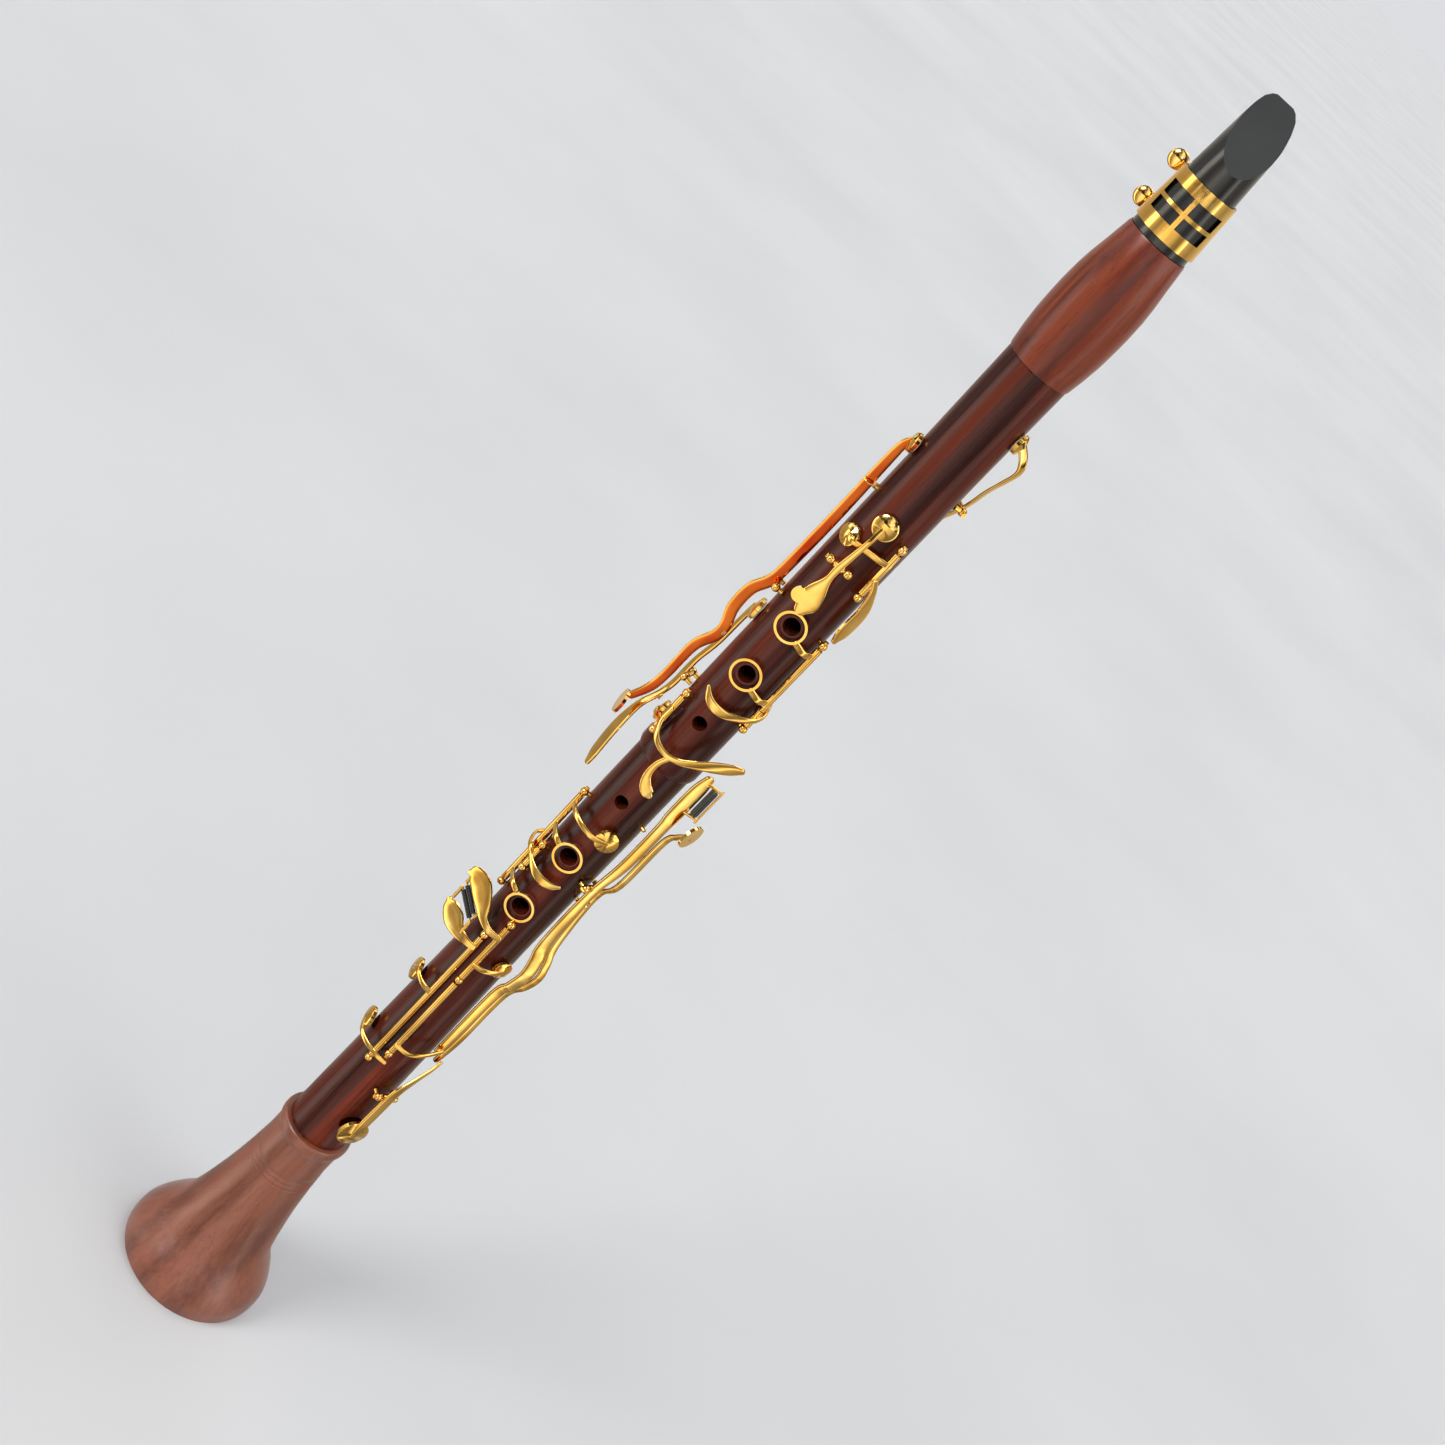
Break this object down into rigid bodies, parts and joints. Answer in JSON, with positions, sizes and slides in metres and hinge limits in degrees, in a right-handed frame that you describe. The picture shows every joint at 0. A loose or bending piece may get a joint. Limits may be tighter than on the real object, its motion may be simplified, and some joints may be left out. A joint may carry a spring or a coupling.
{
  "type": "clarinet",
  "caption": "Simple-system clarinet in rosewood with gold keys, ligature and dark mouthpiece, standing on its bell.",
  "frame": {"origin": "centre of the bell rim, on the surface that the instrument stands on", "axes": "+Z along the bore from bell to mouthpiece; finger holes face -Y; +X is the side of the little-finger levers of the upper hand"},
  "size_m": [0.084, 0.0834, 0.806],
  "materials": {
    "rosewood": "oiled dark rosewood, satin",
    "light_rosewood": "lighter rosewood, satin",
    "gold": "gold plate, polished",
    "ebonite": "hard rubber, polished",
    "black": "hard rubber, satin",
    "cork": "natural cork",
    "leather": "pale pad leather",
    "cane": "dry cane"
  },
  "bodies": {
    "tube": {"bell": "light_rosewood", "lower_joint": "rosewood", "upper_joint": "rosewood", "bell_tenon_cork": "cork", "middle_tenon_cork": "cork", "upper_tenon_cork": "cork", "thumb_rest": "gold", "g_sharp_posts": "gold", "upper_ring_posts": "gold", "c_sharp_posts": "gold", "lower_ring_posts": "gold", "lower_crescent_posts": "gold", "rod_a_posts": "gold", "rod_b_posts": "gold", "register_posts": "gold", "throat_a_posts": "gold", "trill_1_posts": "gold", "trill_2_posts": "gold", "fs_cs_lever_posts": "gold", "eb_lever_posts": "gold", "eb_pad_posts": "gold"},
    "barrel": {"barrel": "light_rosewood", "mouthpiece": "ebonite", "mouthpiece_cork": "cork", "reed": "cane", "ligature": "gold"},
    "ligature_screw_lower": {"ligature_screw_lower": "gold"},
    "ligature_screw_upper": {"ligature_screw_upper": "gold"},
    "register_key": {"register_key": "gold", "register_pad": "leather"},
    "throat_a_key": {"throat_a_key": "gold", "throat_a_pad": "leather"},
    "g_sharp_key": {"g_sharp_key": "gold", "g_sharp_pad": "leather"},
    "upper_ring_key": {"upper_ring_key": "gold"},
    "upper_crescent_key": {"upper_crescent_key": "gold", "upper_crescent_pad": "leather"},
    "trill_key_1": {"trill_key_1": "gold", "trill_1_pad": "leather"},
    "trill_key_2": {"trill_key_2": "gold", "trill_2_pad": "leather"},
    "c_sharp_key": {"c_sharp_key": "gold", "c_sharp_pad": "leather"},
    "lower_ring_key": {"lower_ring_key": "gold", "lower_ring_pad": "leather"},
    "lower_crescent_key": {"lower_crescent_key": "gold", "lower_crescent_pad": "leather"},
    "ab_eb_key": {"ab_eb_key": "gold", "ab_eb_pad": "leather"},
    "f_c_key": {"f_c_key": "gold", "f_c_upper_pad": "leather", "f_c_lower_pad": "leather"},
    "fs_cs_lever": {"fs_cs_lever": "gold"},
    "fs_cs_linkage": {"fs_cs_linkage": "gold"},
    "eb_lever": {"eb_lever": "gold"},
    "eb_pad_key": {"eb_pad_key": "gold", "e_b_pad": "leather"},
    "ab_eb_roller": {"ab_eb_roller": "black"},
    "f_c_roller": {"f_c_roller": "black"},
    "lever_roller": {"lever_roller": "black"}
  },
  "joints": [
    {"name": "barrel_slide", "type": "slide", "parent": "tube", "child": "barrel", "axis": [0, 0, 1], "range_m": [0, 0.003]},
    {"name": "ligature_screw_lower_turn", "type": "hinge", "parent": "barrel", "child": "ligature_screw_lower", "pos_m": [-0.0173, 0.0166, 0.7426], "axis": [-1, 0, 0], "continuous": true},
    {"name": "ligature_screw_upper_turn", "type": "hinge", "parent": "barrel", "child": "ligature_screw_upper", "pos_m": [-0.0173, 0.0166, 0.7622], "axis": [-1, 0, 0], "continuous": true},
    {"name": "register_key_hinge", "type": "hinge", "parent": "tube", "child": "register_key", "pos_m": [0.01597, 0.01119, 0.598], "axis": [-0.5736, 0.8192, 0], "range_deg": [0, 4], "stiffness_Nm_per_rad": 0.15, "springref_deg": -17.19},
    {"name": "throat_a_key_hinge", "type": "hinge", "parent": "tube", "child": "throat_a_key", "pos_m": [-0.00285, -0.0192, 0.551], "axis": [1, 0, 0], "range_deg": [0, 6], "stiffness_Nm_per_rad": 0.15, "springref_deg": -17.19},
    {"name": "g_sharp_key_hinge", "type": "hinge", "parent": "tube", "child": "g_sharp_key", "pos_m": [0.01183, -0.01461, 0.545], "axis": [0, 0, 1], "range_deg": [0, 6], "stiffness_Nm_per_rad": 0.06, "springref_deg": -17.19},
    {"name": "upper_ring_key_hinge", "type": "hinge", "parent": "tube", "child": "upper_ring_key", "pos_m": [0.01585, -0.00915, 0.46], "axis": [0, 0, -1], "range_deg": [0, 3], "stiffness_Nm_per_rad": 0.06, "springref_deg": -17.19},
    {"name": "upper_crescent_key_hinge", "type": "hinge", "parent": "tube", "child": "upper_crescent_key", "pos_m": [0.01585, -0.00915, 0.46], "axis": [0, 0, -1], "range_deg": [0, 5], "stiffness_Nm_per_rad": 0.06, "springref_deg": -17.19},
    {"name": "trill_key_1_hinge", "type": "hinge", "parent": "tube", "child": "trill_key_1", "pos_m": [-0.018, -0.00383, 0.52], "axis": [0.2079, -0.9781, 0], "range_deg": [0, 1.5], "stiffness_Nm_per_rad": 0.15, "springref_deg": -17.19},
    {"name": "trill_key_2_hinge", "type": "hinge", "parent": "tube", "child": "trill_key_2", "pos_m": [-0.01933, 0.00169, 0.456], "axis": [-0.0872, -0.9962, 0], "range_deg": [0, 2], "stiffness_Nm_per_rad": 0.15, "springref_deg": -17.19},
    {"name": "c_sharp_key_hinge", "type": "hinge", "parent": "tube", "child": "c_sharp_key", "pos_m": [-0.0136, -0.01225, 0.4305], "axis": [0, 0, 1], "range_deg": [0, 5], "stiffness_Nm_per_rad": 0.06, "springref_deg": -17.19},
    {"name": "lower_ring_key_hinge", "type": "hinge", "parent": "tube", "child": "lower_ring_key", "pos_m": [-0.01699, -0.00756, 0.3135], "axis": [0, 0, 1], "range_deg": [0, 3], "stiffness_Nm_per_rad": 0.06, "springref_deg": -17.19},
    {"name": "lower_crescent_key_hinge", "type": "hinge", "parent": "tube", "child": "lower_crescent_key", "pos_m": [-0.01404, -0.0122, 0.33], "axis": [0, 0, 1], "range_deg": [0, 5], "stiffness_Nm_per_rad": 0.06, "springref_deg": -17.19},
    {"name": "ab_eb_key_hinge", "type": "hinge", "parent": "tube", "child": "ab_eb_key", "pos_m": [0.00133, -0.01895, 0.203], "axis": [0, 0, -1], "range_deg": [0, 5], "stiffness_Nm_per_rad": 0.06, "springref_deg": -17.19},
    {"name": "f_c_key_hinge", "type": "hinge", "parent": "tube", "child": "f_c_key", "pos_m": [-0.00476, -0.0184, 0.1925], "axis": [0, 0, -1], "range_deg": [0, 6.5], "stiffness_Nm_per_rad": 0.06, "springref_deg": -17.19},
    {"name": "fs_cs_lever_hinge", "type": "hinge", "parent": "tube", "child": "fs_cs_lever", "pos_m": [0.01681, -0.00748, 0.345], "axis": [-0.4067, -0.9135, 0], "range_deg": [0, 1.2], "stiffness_Nm_per_rad": 0.15, "springref_deg": -17.19},
    {"name": "fs_cs_linkage_hinge", "type": "hinge", "parent": "tube", "child": "fs_cs_linkage", "pos_m": [0.00133, -0.01895, 0.203], "axis": [0, 0, -1], "range_deg": [0, 6.3]},
    {"name": "eb_lever_hinge", "type": "hinge", "parent": "tube", "child": "eb_lever", "pos_m": [0.01955, 0.00137, 0.333], "axis": [0.0698, -0.9976, 0], "range_deg": [0, 1.2], "stiffness_Nm_per_rad": 0.15, "springref_deg": -17.19},
    {"name": "eb_pad_key_hinge", "type": "hinge", "parent": "tube", "child": "eb_pad_key", "pos_m": [0.0157, -0.01365, 0.178], "axis": [0.6561, 0.7547, 0], "range_deg": [0, 5.7]},
    {"name": "ab_eb_roller_turn", "type": "hinge", "parent": "ab_eb_key", "child": "ab_eb_roller", "pos_m": [-0.0213, -0.0151, 0.2984], "axis": [0.825, -0.3618, -0.4342], "continuous": true},
    {"name": "f_c_roller_turn", "type": "hinge", "parent": "f_c_key", "child": "f_c_roller", "pos_m": [-0.0213, -0.0151, 0.2952], "axis": [0.825, -0.3618, -0.4342], "continuous": true},
    {"name": "lever_roller_turn", "type": "hinge", "parent": "fs_cs_lever", "child": "lever_roller", "pos_m": [0.0268, -0.0042, 0.41675], "axis": [0, 0, 1], "continuous": true}
  ],
  "couplings": [
    {"joint": "fs_cs_linkage_hinge", "follows": "fs_cs_lever_hinge", "ratio": 5.2},
    {"joint": "eb_pad_key_hinge", "follows": "eb_lever_hinge", "ratio": 4.67}
  ]
}
